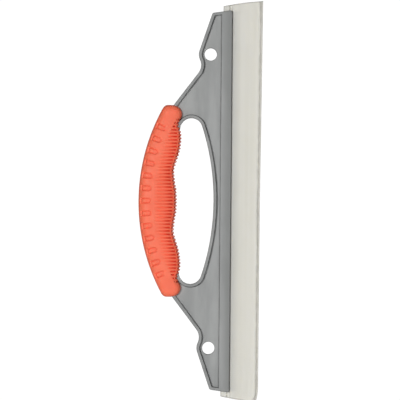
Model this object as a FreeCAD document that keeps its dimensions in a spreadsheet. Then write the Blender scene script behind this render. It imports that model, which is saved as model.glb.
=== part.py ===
"""Hand-held squeegee: a grey frame, a soft grip moulded over its handle and a silicone blade.

The design frame has X = 0 at the channel's mouth, growing towards the working edge, Y = 0 in
the middle of the thickness and Z = 0 at mid-length. Each finished piece is then placed so that
the origin lies on the axis of the upper hang hole. Lengths are in millimetres.
"""
import FreeCAD, Part
import math
import os

import Sketcher

Vector = FreeCAD.Vector
ORIGIN = (-1, 1)
H_AXIS = -1
V_AXIS = -2
START, END, CENTRE = 1, 2, 3

doc = FreeCAD.newDocument("squeegee")

# ---------------------------------------------------------------- driving dimensions
DIMENSIONS = [
    # the channel band that holds the blade
    ("channel_half", 145.1, "half the channel's length, at its mouth"),
    ("flare_slope", 0.14, "how far the ends run outwards per millimetre towards the edge"),
    ("lip_wall", 1.8, "thickness of the lips that keep the blade in"),
    ("side_wall", 2.0, "channel wall in front of and behind the blade's head"),
    ("back_wall", 1.3, "channel wall behind the blade's head"),
    ("fit", 0.2, "clearance all round the blade in its channel"),
    # the blade
    ("head_t", 5.0, "thickness of the blade's head"),
    ("head_d", 4.7, "depth of the blade's head"),
    ("neck_t", 2.8, "blade thickness in the channel's mouth"),
    ("root_t", 4.4, "blade thickness at the shoulder just outside the mouth"),
    ("root_reach", 7.0, "from the mouth to where the shoulder has thinned to the web"),
    ("edge_t", 1.8, "blade thickness behind its lip"),
    ("tip_reach", 23.3, "from the channel's mouth to the working edge"),
    ("lip_t", 7.0, "height of the T-shaped lip"),
    ("lip_d", 1.5, "depth of the T-shaped lip"),
    ("overhang", 4.0, "how far the blade stands past each end of the channel"),
    # the web, its rim and the hang holes
    ("end_w", 15.0, "width of the frame at its ends"),
    ("corner_r", 2.0, "outer corner of each end"),
    ("web_t", 4.0, "web thickness"),
    ("rim_w", 2.4, "width of the raised rim"),
    ("hang_inset", 33.6, "from the frame's end to the hang hole's axis"),
    ("hang_back", 16.15, "from the channel's mouth to the hang hole's axis"),
    ("hang_r", 4.7, "hang hole radius"),
    ("ear_wall", 4.3, "material round the hang hole"),
    ("neck_r", 10.0, "radius of the waist between ear and shoulder"),
    ("neck_waist", 7.2, "from the hang hole's axis back to the waist"),
    # the finger window
    ("web_strip", 4.9, "narrowest web between the band and the window"),
    ("finger_gap", 28.75, "width of the window at mid-length"),
    ("window_corner_r", 8.5, "radius of the window's ends"),
    ("corner_lead", 3.0, "from the window's end corners back to the middle finger swell"),
    # the handle
    ("grip_half", 72.8, "half the grip's length"),
    ("grip_cap", 9.8, "how far the grip runs past the window's end"),
    ("grip_depth", 28.3, "palm to fingers at mid-length"),
    ("grip_t", 23.0, "grip thickness at mid-length"),
    ("grip_end_t", 16.0, "grip thickness towards its ends"),
    ("grip_wall", 3.0, "rubber thickness over the core"),
    ("palm_r", 147.0, "radius of the palm side"),
    ("dip_z", 23.0, "mid-length to each finger dip"),
    ("dip_depth", 2.1, "depth of the finger dips"),
    ("bump_drop", 14.0, "from the window's end to the outer finger swells"),
    ("bump_rise", 3.25, "height of the outer finger swells"),
    ("collar_rise", 4.4, "how far the collars reach over the web"),
    ("shoulder_step", 23.1, "from the palm line forward to where the web's shoulder goes in"),
    ("shoulder_tuck", 4.0, "how deep the web's shoulder runs into the grip"),
    ("key_r", 3.0, "radius of the holes that key the rubber to the core"),
    ("key_pitch", 22.0, "spacing of the key holes"),
]

sheet = doc.addObject("Spreadsheet::Sheet", "dims")
for row, (alias, number, meaning) in enumerate(DIMENSIONS, start=1):
    sheet.set(f"A{row}", alias)
    sheet.set(f"B{row}", str(number))
    sheet.set(f"C{row}", meaning)
    sheet.setAlias(f"B{row}", alias)
doc.recompute()

# Derived sizes, each written once as an expression on the sheet.
FRAME_T = "(dims.head_t + 2 * dims.fit + 2 * dims.side_wall)"
HEAD_BACK = "(dims.lip_wall + dims.fit + dims.head_d)"
BAND_W = f"({HEAD_BACK} + dims.fit + dims.back_wall)"
HANG_Z = "(dims.channel_half - dims.hang_inset)"
WINDOW_FRONT = f"({BAND_W} + dims.web_strip)"
FINGER_BACK = f"({WINDOW_FRONT} + dims.finger_gap)"
PALM_BACK = f"({FINGER_BACK} + dims.grip_depth)"
PALM_X = f"(dims.palm_r - {PALM_BACK})"
WINDOW_HALF = "(dims.grip_half - dims.grip_cap)"
WINDOW_LEFT = f"({FINGER_BACK} - dims.corner_lead)"
WINDOW_HIDDEN = f"({FINGER_BACK} + dims.dip_depth + 2 * dims.grip_wall)"
BUMP_Z = f"({WINDOW_HALF} - dims.bump_drop)"
COLLAR_Z = "(dims.grip_half - 0.65 * dims.grip_cap)"
CORE_HALF = "(dims.grip_half - 1.5 * dims.grip_cap)"
BLADE_HALF = "(dims.channel_half + dims.overhang)"
CLEAR = "400"  # reaches past the whole tool, for blocks that only cut


def value(expression):
    """The number that an expression on the sheet gives now."""
    return float(sheet.evalExpression(str(expression)))


def bind(item, **expressions):
    """Bind properties to expressions; x, y and z are the placement's."""
    for name, expression in expressions.items():
        path = f"Placement.Base.{name}" if name in "xyz" else name
        item.setExpression(path, str(expression))
    return item


def add(kind, name, **expressions):
    return bind(doc.addObject(kind, name), **expressions)


class Rules:
    """Adds constraints to one sketch and binds those that carry a size."""

    def __init__(self, sketch):
        self.sketch = sketch

    def tie(self, kind, *where):
        self.sketch.addConstraint(Sketcher.Constraint(kind, *where))

    def size(self, kind, *where, to):
        index = self.sketch.addConstraint(Sketcher.Constraint(kind, *where, value(to)))
        self.sketch.setExpression(f"Constraints[{index}]", str(to))

    def back(self, geometry, point, to):
        """The point lies this far behind the channel's mouth."""
        self.size("DistanceX", geometry, point, *ORIGIN, to=to)

    def up(self, geometry, point, to):
        """The point lies this far above mid-length."""
        self.size("DistanceY", *ORIGIN, geometry, point, to=to)

    def mirror_line(self, line, copy):
        self.tie("Symmetric", copy, START, line, START, H_AXIS)
        self.tie("Symmetric", copy, END, line, END, H_AXIS)

    def mirror_arc(self, arc, copy):
        self.tie("Symmetric", copy, START, arc, END, H_AXIS)
        self.tie("Symmetric", copy, END, arc, START, H_AXIS)
        self.tie("Equal", copy, arc)


def plan_sketch(name):
    """A sketch in the XZ plane: its X is the model's X and its Y the model's Z."""
    sketch = doc.addObject("Sketcher::SketchObject", name)
    sketch.Placement = FreeCAD.Placement(Vector(), FreeCAD.Rotation(Vector(1, 0, 0), 90))
    return sketch


def line(sketch, start, end):
    return sketch.addGeometry(Part.LineSegment(Vector(*start), Vector(*end)), False)


def arc(sketch, centre, radius, first, last):
    circle = Part.Circle(Vector(*centre), Vector(0, 0, 1), radius)
    angles = math.radians(first), math.radians(last)
    return sketch.addGeometry(Part.ArcOfCircle(circle, *angles), False)


def flipped(points):
    return [(x, -z) for x, z in points]


# ---------------------------------------------------------------- frame outline
def outline_sketch():
    """The web's outer edge: flared ends, ears round the hang holes, waists and shoulders."""
    sketch = plan_sketch("frame_outline")
    rules = Rules(sketch)
    length = value("dims.channel_half")
    corner = (-value("dims.end_w"), value("dims.channel_half - dims.end_w * dims.flare_slope"))
    hang = (-value("dims.hang_back"), value(HANG_Z))
    ear_r = value("dims.hang_r + dims.ear_wall")
    neck_r = value("dims.neck_r")
    neck_x = hang[0] - value("dims.neck_waist") - neck_r
    neck_dz = math.sqrt((ear_r + neck_r) ** 2 - (hang[0] - neck_x) ** 2)
    neck = (neck_x, hang[1] - neck_dz)
    knee = (-value(f"{PALM_BACK} - dims.shoulder_step"), value("dims.grip_half - dims.shoulder_tuck"))
    core_r = value("dims.palm_r - 2 * dims.grip_wall")
    core_z = value(CORE_HALF)
    core_x = value(PALM_X)
    joint = (core_x - math.sqrt(core_r ** 2 - core_z ** 2), core_z)
    ear_side = (hang[0] - ear_r, hang[1] + 2)
    neck_low = (neck[0] + 0.8 * neck_r, neck[1] - 0.6 * neck_r)
    turn = math.degrees(math.asin(neck_dz / (ear_r + neck_r)))
    sweep = math.degrees(math.asin(core_z / core_r))

    mouth = line(sketch, (0, -length), (0, length))
    halves = []
    for side in (1, -1):
        end_points, ear_points = [(0, length), corner], [corner, ear_side]
        shoulder_points, knee_points = [neck_low, knee], [knee, joint]
        centres = [(corner[0] + 2, corner[1] - 2), hang, neck]
        spans = [(98, 162), (162, 180 + turn), (-37, turn)]
        if side < 0:
            end_points, ear_points = flipped(end_points), flipped(ear_points)
            shoulder_points, knee_points = flipped(shoulder_points), flipped(knee_points)
            centres = flipped(centres)
            spans = [(-last, -first) for first, last in spans]
        halves.append([
            line(sketch, *end_points),
            arc(sketch, centres[0], value("dims.corner_r"), *spans[0]),
            line(sketch, *ear_points),
            arc(sketch, centres[1], ear_r, *spans[1]),
            arc(sketch, centres[2], neck_r, *spans[2]),
            line(sketch, *shoulder_points),
            line(sketch, *knee_points),
        ])
    palm = arc(sketch, (core_x, 0), core_r, 180 - sweep, 180 + sweep)
    sharp = sketch.addGeometry(Part.Point(Vector(*corner)), True)

    end, tip, flank, ear, waist, shoulder, hidden = halves[0]
    rules.tie("PointOnObject", mouth, END, V_AXIS)
    rules.up(mouth, END, "dims.channel_half")
    rules.tie("Symmetric", mouth, START, mouth, END, H_AXIS)
    rules.tie("Coincident", mouth, END, end, START)
    rules.tie("Tangent", end, END, tip, START)
    rules.tie("Tangent", tip, END, flank, START)
    rules.size("Radius", tip, to="dims.corner_r")
    rules.tie("PointOnObject", sharp, START, end)
    rules.tie("PointOnObject", sharp, START, flank)
    rules.back(sharp, START, "dims.end_w")
    rules.up(sharp, START, "dims.channel_half - dims.end_w * dims.flare_slope")
    rules.tie("Tangent", flank, END, ear, START)
    rules.back(ear, CENTRE, "dims.hang_back")
    rules.up(ear, CENTRE, HANG_Z)
    rules.size("Radius", ear, to="dims.hang_r + dims.ear_wall")
    rules.tie("Tangent", ear, END, waist, END)
    rules.size("Radius", waist, to="dims.neck_r")
    rules.back(waist, CENTRE, "dims.hang_back + dims.neck_waist + dims.neck_r")
    rules.tie("Tangent", waist, START, shoulder, START)
    rules.back(shoulder, END, f"{PALM_BACK} - dims.shoulder_step")
    rules.up(shoulder, END, "dims.grip_half - dims.shoulder_tuck")
    rules.tie("Coincident", shoulder, END, hidden, START)
    rules.tie("Coincident", hidden, END, palm, START)
    rules.up(palm, START, CORE_HALF)
    rules.tie("PointOnObject", palm, CENTRE, H_AXIS)
    rules.size("DistanceX", *ORIGIN, palm, CENTRE, to=PALM_X)
    rules.size("Radius", palm, to="dims.palm_r - 2 * dims.grip_wall")
    rules.tie("Vertical", palm, START, palm, END)
    for upper, lower in zip(*halves):
        if upper in (tip, ear, waist):
            rules.mirror_arc(upper, lower)
        else:
            rules.mirror_line(upper, lower)
    return sketch


def window_sketch():
    """The finger window: a long arc towards the band, tight ends, and a back hidden in the grip."""
    sketch = plan_sketch("window_outline")
    rules = Rules(sketch)
    corner_r = value("dims.window_corner_r")
    front = value(WINDOW_FRONT)
    left = value(WINDOW_LEFT)
    back = value(WINDOW_HIDDEN)
    centre = (corner_r - left, value(WINDOW_HALF) - corner_r)
    depth = left - corner_r - front
    nose_r = (centre[1] ** 2 + depth ** 2 - corner_r ** 2) / (2 * (depth - corner_r))
    tangent = math.degrees(math.asin(centre[1] / (nose_r - corner_r)))
    slant = [(-left, centre[1]), (-back, centre[1] + left - back)]

    nose = arc(sketch, (-front - nose_r, 0), nose_r, -tangent, tangent)
    top = arc(sketch, centre, corner_r, tangent, 180)
    slope = line(sketch, *slant)
    rear = line(sketch, slant[1], (slant[1][0], -slant[1][1]))
    bottom = arc(sketch, (centre[0], -centre[1]), corner_r, 180, 360 - tangent)
    slope_copy = line(sketch, *flipped(slant))
    tip = sketch.addGeometry(Part.Point(Vector(-front, 0)), True)

    rules.tie("PointOnObject", nose, CENTRE, H_AXIS)
    rules.tie("PointOnObject", tip, START, H_AXIS)
    rules.tie("PointOnObject", tip, START, nose)
    rules.back(tip, START, WINDOW_FRONT)
    rules.tie("Vertical", nose, START, nose, END)
    rules.tie("Tangent", nose, END, top, START)
    rules.size("Radius", top, to="dims.window_corner_r")
    rules.back(top, CENTRE, f"{WINDOW_LEFT} - dims.window_corner_r")
    rules.up(top, CENTRE, f"{WINDOW_HALF} - dims.window_corner_r")
    rules.tie("Horizontal", top, END, top, CENTRE)
    rules.tie("Coincident", top, END, slope, START)
    rules.tie("Coincident", slope, END, rear, START)
    rules.back(slope, END, WINDOW_HIDDEN)
    rules.up(slope, END, f"{WINDOW_HALF} - dims.window_corner_r + {WINDOW_LEFT} - {WINDOW_HIDDEN}")
    rules.tie("Symmetric", rear, END, rear, START, H_AXIS)
    rules.mirror_arc(top, bottom)
    rules.mirror_line(slope, slope_copy)
    return sketch


# ---------------------------------------------------------------- handle form
def handle_stations():
    """Half the handle from mid-length up: height, distance back of the finger side, fullness."""
    finger = FINGER_BACK
    return [
        ("0", finger, 1.0),
        ("dims.dip_z / 2", f"{finger} + dims.dip_depth / 2", 1.0),
        ("dims.dip_z", f"{finger} + dims.dip_depth", 1.0),
        (f"(dims.dip_z + {BUMP_Z}) / 2", f"{finger} + (dims.dip_depth - dims.bump_rise) / 2", 1.0),
        (BUMP_Z, f"{finger} - dims.bump_rise", 1.0),
        (f"({BUMP_Z} + {CORE_HALF}) / 2", f"{finger} - 0.9 * dims.bump_rise", 0.99),
        (CORE_HALF, f"{finger} - 0.5 * dims.bump_rise", 0.97),
        (f"({CORE_HALF} + {COLLAR_Z}) / 2", f"{finger} - 0.75 * dims.collar_rise", 0.98),
        (COLLAR_Z, f"{finger} - dims.collar_rise", 0.97),
        ("dims.grip_half - 0.25 * dims.grip_cap", f"{finger} - 0.5 * dims.collar_rise", 0.8),
        ("dims.grip_half", f"{finger} + 0.3 * dims.collar_rise", 0.45),
    ]


def oval(height, finger_back, fullness, inset):
    """One level section of the handle, a little fuller than an ellipse."""
    points_round = 24
    power = 2.2
    palm = math.sqrt(value("dims.palm_r") ** 2 - height ** 2) - value(PALM_X)
    taper = 1 - (height / value("dims.grip_half")) ** 2
    end_t = value("dims.grip_end_t")
    thickness = fullness * (end_t + (value("dims.grip_t") - end_t) * taper)
    middle = -(palm + finger_back) / 2
    half_depth = (palm - finger_back) / 2 - inset
    half_thickness = thickness / 2 - inset
    points = []
    for step in range(points_round):
        angle = 2 * math.pi * step / points_round
        c, s = math.cos(angle), math.sin(angle)
        x = middle + half_depth * math.copysign(abs(c) ** (2 / power), c)
        y = half_thickness * math.copysign(abs(s) ** (2 / power), s)
        points.append(Vector(x, y, height))
    curve = Part.BSplineCurve()
    curve.interpolate(points, PeriodicFlag=True)
    return Part.Wire(curve.toShape())


def handle_form(name, inset, reach):
    """A solid through the handle's sections up to a height, its surface moved in by inset."""
    rows = [(value(z), value(back), full) for z, back, full in handle_stations()]
    rows = [row for row in rows if row[0] <= reach + 1e-6]
    mirrored = [(-z, back, full) for z, back, full in reversed(rows[1:])]
    wires = [oval(z, back, full, inset) for z, back, full in mirrored + rows]
    form = doc.addObject("Part::Feature", name)
    form.Shape = Part.makeLoft(wires, True)
    return form


# ---------------------------------------------------------------- helpers for solids
def slab(name, base, thickness):
    """Extrude a face evenly to both sides of the mid-plane."""
    solid = add("Part::Extrusion", name, LengthFwd=thickness)
    solid.Base = base
    solid.DirMode = "Custom"
    solid.Dir = Vector(0, 1, 0)
    solid.Symmetric = True
    solid.Solid = True
    return solid


def block(name, back, front, thickness, half_height):
    """A box from one distance behind the mouth to another, centred in Y and Z."""
    return add(
        "Part::Box", name,
        Length=f"{back} - ({front})", Width=thickness, Height=f"2 * ({half_height})",
        x=f"-({back})", y=f"-({thickness}) / 2", z=f"-({half_height})",
    )


def hole(name, radius, back, height):
    """A cylinder along Y, longer than the frame is thick."""
    tool = doc.addObject("Part::Cylinder", name)
    tool.Placement = FreeCAD.Placement(Vector(), FreeCAD.Rotation(Vector(1, 0, 0), -90))
    return bind(tool, Radius=radius, Height="4 * dims.grip_t", x=f"-({back})",
                y="-2 * dims.grip_t", z=height)


def cut(name, base, tool):
    solid = doc.addObject("Part::Cut", name)
    solid.Base = base
    solid.Tool = tool
    return solid


def fuse(name, shapes):
    solid = doc.addObject("Part::MultiFuse", name)
    solid.Shapes = shapes
    return solid


def place(piece):
    """Bring the origin to the upper hang hole's axis."""
    return bind(piece, x="dims.hang_back", z=f"-{HANG_Z}")


# ---------------------------------------------------------------- frame
def frame_and_body():
    """The finished frame, and the same solid before its channel and hang holes are cut."""
    outline = doc.addObject("Part::Face", "plate_face")
    outline.Sources = [outline_sketch(), window_sketch()]
    outline.FaceMakerClass = "Part::FaceMakerBullseye"
    inner = add("Part::Offset2D", "inside_the_rim", Value="-dims.rim_w")
    inner.Source = outline
    inner.Join = "Arc"
    doc.recompute()

    plate = slab("plate", outline, FRAME_T)
    recess = slab("recess", inner, f"2 * {FRAME_T}")
    band = block("band", BAND_W, "-1", f"3 * {FRAME_T}", CLEAR)
    web = block("web", CLEAR, "-1", "dims.web_t", CLEAR)
    pockets = cut("pockets", recess, fuse("kept", [band, web]))
    core = handle_form("core", value("dims.grip_wall"), value(CORE_HALF))
    keys = []
    for number in range(-2, 3):
        height = f"{number} * dims.key_pitch"
        arc_r = "(dims.palm_r - dims.grip_depth / 2)"
        back = f"sqrt({arc_r} * {arc_r} - ({height}) * ({height})) - {PALM_X}"
        keys.append(hole(f"key_{number + 3}", "dims.key_r", back, height))
    solid = fuse("plate_and_core", [cut("ribbed_plate", plate, pockets), core])
    body = cut("frame_body", solid, fuse("key_holes", keys))

    head_slot = block("head_slot", f"{HEAD_BACK} + dims.fit", "dims.lip_wall",
                      "dims.head_t + 2 * dims.fit", CLEAR)
    mouth_slot = block("mouth_slot", "dims.lip_wall + dims.fit", "-1",
                       "dims.neck_t + 2 * dims.fit", CLEAR)
    upper = hole("hang_hole_upper", "dims.hang_r", "dims.hang_back", HANG_Z)
    lower = hole("hang_hole_lower", "dims.hang_r", "dims.hang_back", f"-{HANG_Z}")
    openings = fuse("openings", [head_slot, mouth_slot, upper, lower])
    return place(cut("frame", body, openings)), body


# ---------------------------------------------------------------- grip
def grip(frame_body):
    """Rubber moulded over the core: its pegs fill the key holes."""
    envelope = handle_form("grip_form", 0, value("dims.grip_half"))
    return place(cut("grip", envelope, frame_body))


# ---------------------------------------------------------------- blade
def origin_plane(body, role):
    return next(item for item in body.Origin.OriginFeatures if item.Role == role)


def blade():
    """An extruded strip with a thick head, a tapering web and a T-shaped lip, its ends flared."""
    body = doc.addObject("PartDesign::Body", "blade")
    profile = body.newObject("Sketcher::SketchObject", "blade_profile")
    profile.AttachmentSupport = [(origin_plane(body, "XY_Plane"), "")]
    profile.MapMode = "FlatFace"
    rules = Rules(profile)
    stations = [
        (f"-{HEAD_BACK}", "dims.head_t"),
        ("-(dims.lip_wall + dims.fit)", "dims.head_t"),
        ("-(dims.lip_wall + dims.fit)", "dims.neck_t"),
        ("dims.fit", "dims.neck_t"),
        ("dims.fit", "dims.root_t"),
        ("dims.root_reach", "dims.neck_t"),
        ("dims.tip_reach - dims.lip_d", "dims.edge_t"),
        ("dims.tip_reach - dims.lip_d", "dims.lip_t"),
        ("dims.tip_reach", "dims.lip_t"),
    ]
    upper = [(value(x), value(t) / 2) for x, t in stations]
    loop = upper + flipped(reversed(upper))
    edges = [line(profile, a, b) for a, b in zip(loop, loop[1:] + loop[:1])]
    for edge, following in zip(edges, edges[1:] + edges[:1]):
        rules.tie("Coincident", edge, END, following, START)
    for edge, (x, thickness) in zip(edges, stations):
        if x.startswith("-"):
            rules.back(edge, START, x[1:])
        else:
            rules.size("DistanceX", *ORIGIN, edge, START, to=x)
        rules.size("DistanceY", *ORIGIN, edge, START, to=f"{thickness} / 2")
    for edge, partner in zip(edges, reversed(edges[:-1])):
        if edge < len(upper):
            rules.tie("Symmetric", edge, START, partner, END, H_AXIS)
    strip = body.newObject("PartDesign::Pad", "strip")
    strip.Profile = profile
    strip.Midplane = True
    strip.setExpression("Length", f"2 * ({BLADE_HALF} + dims.flare_slope * dims.tip_reach)")
    doc.recompute()

    trim = body.newObject("Sketcher::SketchObject", "end_trim")
    trim.AttachmentSupport = [(origin_plane(body, "XZ_Plane"), "")]
    trim.MapMode = "FlatFace"
    rules = Rules(trim)
    root, tip = value(HEAD_BACK) + 1, value("dims.tip_reach")
    half, slope = value(BLADE_HALF), value("dims.flare_slope")
    low, high = (-root, half - root * slope), (tip, half + tip * slope)
    slant = line(trim, low, high)
    side = line(trim, high, (-root, high[1]))
    rear = line(trim, (-root, high[1]), low)
    rules.tie("Coincident", slant, END, side, START)
    rules.tie("Coincident", side, END, rear, START)
    rules.tie("Coincident", rear, END, slant, START)
    rules.tie("Horizontal", side)
    rules.tie("Vertical", rear)
    rules.back(slant, START, f"{HEAD_BACK} + 1")
    rules.up(slant, START, f"{BLADE_HALF} - dims.flare_slope * ({HEAD_BACK} + 1)")
    rules.size("DistanceX", *ORIGIN, slant, END, to="dims.tip_reach")
    rules.up(slant, END, f"{BLADE_HALF} + dims.flare_slope * dims.tip_reach")
    upper_end = body.newObject("PartDesign::Pocket", "upper_end")
    upper_end.Profile = trim
    upper_end.Type = "ThroughAll"
    upper_end.Midplane = True
    doc.recompute()
    both_ends = body.newObject("PartDesign::Mirrored", "both_ends")
    both_ends.Originals = [upper_end]
    both_ends.MirrorPlane = (origin_plane(body, "XY_Plane"), [""])
    body.Tip = both_ends
    return place(body)


# ---------------------------------------------------------------- build, check and write
frame, frame_body = frame_and_body()
PIECES = {"frame": frame, "grip": grip(frame_body), "blade": blade()}
for label, piece in PIECES.items():
    piece.Label = label
doc.recompute()

for item in doc.Objects:
    if "Invalid" in item.State or "Error" in item.State:
        raise RuntimeError(f"{item.Name} failed: {item.State}")
for label, piece in PIECES.items():
    shape = piece.Shape
    if shape.isNull() or not shape.isValid() or len(shape.Solids) != 1:
        raise RuntimeError(f"{label} is not one valid solid")

os.makedirs("parts", exist_ok=True)
for label, piece in PIECES.items():
    piece.Shape.exportStep(f"parts/{label}.step")
    box = piece.Shape.BoundBox
    print(f"{label}: {piece.Shape.Volume / 1000:.1f} cm3, "
          f"X {box.XMin:.1f}..{box.XMax:.1f}, Y {box.YMin:.1f}..{box.YMax:.1f}, "
          f"Z {box.ZMin:.1f}..{box.ZMax:.1f}")
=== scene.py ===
# %% [markdown]
# # A hand squeegee with a soft grip
# The tool is a flat grey moulded frame with a bow for a handle, a coral rubber grip
# over the bow, and a pale silicone strip held in a channel along the front edge.
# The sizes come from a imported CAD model, so every piece starts from its boxes.
# The lesson goes from shared helpers to finishes, then frame, grip, blade and studio.

import math

import bmesh
import bpy
import numpy as np
from mathutils import Matrix, Vector


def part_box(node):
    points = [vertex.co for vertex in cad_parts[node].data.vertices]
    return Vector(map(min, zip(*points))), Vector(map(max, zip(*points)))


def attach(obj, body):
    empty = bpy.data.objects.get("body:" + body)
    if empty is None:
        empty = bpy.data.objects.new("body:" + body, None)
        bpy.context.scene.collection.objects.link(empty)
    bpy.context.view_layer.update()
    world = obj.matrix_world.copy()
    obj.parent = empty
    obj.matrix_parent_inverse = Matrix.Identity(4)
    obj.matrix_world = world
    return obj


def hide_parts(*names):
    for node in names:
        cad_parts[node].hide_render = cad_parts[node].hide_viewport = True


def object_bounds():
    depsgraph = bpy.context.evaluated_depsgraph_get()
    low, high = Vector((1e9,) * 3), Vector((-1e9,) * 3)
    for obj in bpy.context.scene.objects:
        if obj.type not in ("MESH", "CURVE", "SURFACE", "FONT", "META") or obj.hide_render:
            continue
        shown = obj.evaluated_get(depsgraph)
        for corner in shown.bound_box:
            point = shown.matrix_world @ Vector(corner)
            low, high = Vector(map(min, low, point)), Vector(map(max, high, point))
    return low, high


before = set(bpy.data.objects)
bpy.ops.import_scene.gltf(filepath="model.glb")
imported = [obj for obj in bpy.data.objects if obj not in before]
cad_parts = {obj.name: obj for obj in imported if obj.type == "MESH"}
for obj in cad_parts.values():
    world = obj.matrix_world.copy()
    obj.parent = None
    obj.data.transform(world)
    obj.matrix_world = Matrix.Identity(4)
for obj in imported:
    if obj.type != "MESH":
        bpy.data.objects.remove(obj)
cad_low, cad_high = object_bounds()
print("nodes:", sorted(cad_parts))
print("box from", tuple(cad_low), "to", tuple(cad_high))

# %% [markdown]
# ## Where things are
# The model's zero is the axis of the upper hang hole. A maker would rather measure
# this tool from the mouth of the channel, at mid-length, because everything on it
# mirrors about that line. These two numbers move from one to the other. They are
# read from the frame's box, so they follow the model if its sizes change.

# %% Find the channel's mouth and the middle of the tool
MM = 0.001
frame_low, frame_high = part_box("frame")
MOUTH_X = frame_high.x
MIDDLE_Z = (frame_low.z + frame_high.z) / 2


def spot(forward, across, up):
    """A point in metres, from millimetres forward of the mouth, across, and above mid-length."""
    return Vector((MOUTH_X + forward * MM, across * MM, MIDDLE_Z + up * MM))


print("mouth at x", round(MOUTH_X, 5), "middle at z", round(MIDDLE_Z, 5))

# %% [markdown]
# ## A small helper for node trees
# Both geometry and shader trees are easier to read as sums than as loose links. This
# class adds a node, puts plain numbers in its sockets and joins sockets to them. It
# also makes the two things used most: one math step, and a smooth step from 0 to 1.

# %% Wire nodes together
class Wiring:
    """Adds joined nodes to one tree."""

    def __init__(self, tree):
        self.tree = tree

    def add(self, kind, *values, **settings):
        """One node: settings first, then a value or a socket for each input in order."""
        made = self.tree.nodes.new(kind)
        for name, setting in settings.items():
            setattr(made, name, setting)
        for socket, value in zip(made.inputs, values):
            self.put(value, socket)
        return made

    def put(self, value, socket):
        """A socket is linked, a number or colour is typed in, and None leaves it alone."""
        if isinstance(value, bpy.types.NodeSocket):
            self.tree.links.new(value, socket)
        elif value is not None:
            socket.default_value = value

    def math(self, operation, *values):
        return self.add("ShaderNodeMath", *values, operation=operation).outputs[0]

    def step(self, value, start, end, low=0.0, high=1.0):
        """Rises smoothly from low to high as the value goes from start to end."""
        return self.add(
            "ShaderNodeMapRange", value, start, end, low, high, interpolation_type="SMOOTHSTEP"
        ).outputs[0]

    def blend_colour(self, amount, first, second):
        made = self.add("ShaderNodeMix", data_type="RGBA")
        self.put(amount, made.inputs["Factor"])
        self.put(first, made.inputs[6])
        self.put(second, made.inputs[7])
        return made.outputs[2]


def new_group(name, inputs, outputs):
    """A shader node group with named inputs and outputs, and the wiring inside it."""
    group = bpy.data.node_groups.new(name, "ShaderNodeTree")
    for label, kind, value in inputs:
        socket = group.interface.new_socket(label, in_out="INPUT", socket_type=kind)
        socket.default_value = value
    for label, kind in outputs:
        group.interface.new_socket(label, in_out="OUTPUT", socket_type=kind)
    wires = Wiring(group)
    taken = wires.add("NodeGroupInput").outputs
    given = wires.add("NodeGroupOutput").inputs
    return group, wires, taken, given


FLOAT, COLOUR, VECTOR = "NodeSocketFloat", "NodeSocketColor", "NodeSocketVector"
print("helpers ready")

# %% [markdown]
# ## Three effects that the finishes share
# **Cloudy tint**: moulded plastic and rubber are never one even colour. Pigment swirls
# as it flows into the mould, so a large soft noise drifts between two near colours.
#
# **Moulded grain**: the mould's spark-eroded skin leaves a fine pebble on the part. It
# is too small for geometry, so it is a height for a Bump node.
#
# ** Worn and shaded edges**: corners are rubbed by hands, and the finishes also paint them
# darker, painted shade where the edges turn from the light. The hollows beside a wall get
# painted shadow, the shade that the wall casts. The mesh says where both are, in
# attributes named "edge" and "hollow", and noise breaks them up. Each finish decides
# what the rubbing and the painted shade do to it.

# %% Build the cloudy tint group
def cloudy_tint_group():
    group, wires, taken, given = new_group(
        "cloudy_tint",
        [
            ("Base", COLOUR, (0.5, 0.5, 0.5, 1)),
            ("Tint", COLOUR, (0.4, 0.4, 0.4, 1)),
            ("Cloud scale", FLOAT, 30.0),
            ("Amount", FLOAT, 0.5),
            ("Stretch", VECTOR, (1, 1, 1)),
        ],
        [("Color", COLOUR)],
    )
    place = wires.add("ShaderNodeTexCoord").outputs["Object"]
    stretched = wires.add("ShaderNodeVectorMath", place, taken["Stretch"], operation="MULTIPLY")
    noise = wires.add("ShaderNodeTexNoise")
    wires.put(stretched.outputs[0], noise.inputs["Vector"])
    wires.put(taken["Cloud scale"], noise.inputs["Scale"])
    wires.put(4.0, noise.inputs["Detail"])
    clouds = wires.step(noise.outputs["Fac"], 0.35, 0.65)
    amount = wires.math("MULTIPLY", clouds, taken["Amount"])
    wires.put(wires.blend_colour(amount, taken["Base"], taken["Tint"]), given["Color"])
    return group


CLOUDY_TINT = cloudy_tint_group()
print("group:", CLOUDY_TINT.name)

# %% Build the moulded grain group
def moulded_grain_group():
    group, wires, taken, given = new_group(
        "moulded_grain",
        [("Grain scale", FLOAT, 2500.0), ("Flow scale", FLOAT, 90.0), ("Flow share", FLOAT, 0.4)],
        [("Height", FLOAT), ("Patch", FLOAT)],
    )
    place = wires.add("ShaderNodeTexCoord").outputs["Object"]
    pebbles = wires.add("ShaderNodeTexNoise")
    wires.put(place, pebbles.inputs["Vector"])
    wires.put(taken["Grain scale"], pebbles.inputs["Scale"])
    wires.put(2.0, pebbles.inputs["Detail"])
    flow = wires.add("ShaderNodeTexNoise")
    wires.put(place, flow.inputs["Vector"])
    wires.put(taken["Flow scale"], flow.inputs["Scale"])
    wires.put(3.0, flow.inputs["Detail"])
    waves = wires.math("MULTIPLY", flow.outputs["Fac"], taken["Flow share"])
    wires.put(wires.math("ADD", pebbles.outputs["Fac"], waves), given["Height"])
    wires.put(wires.step(flow.outputs["Fac"], 0.3, 0.7), given["Patch"])
    return group


MOULDED_GRAIN = moulded_grain_group()
print("group:", MOULDED_GRAIN.name)

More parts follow.
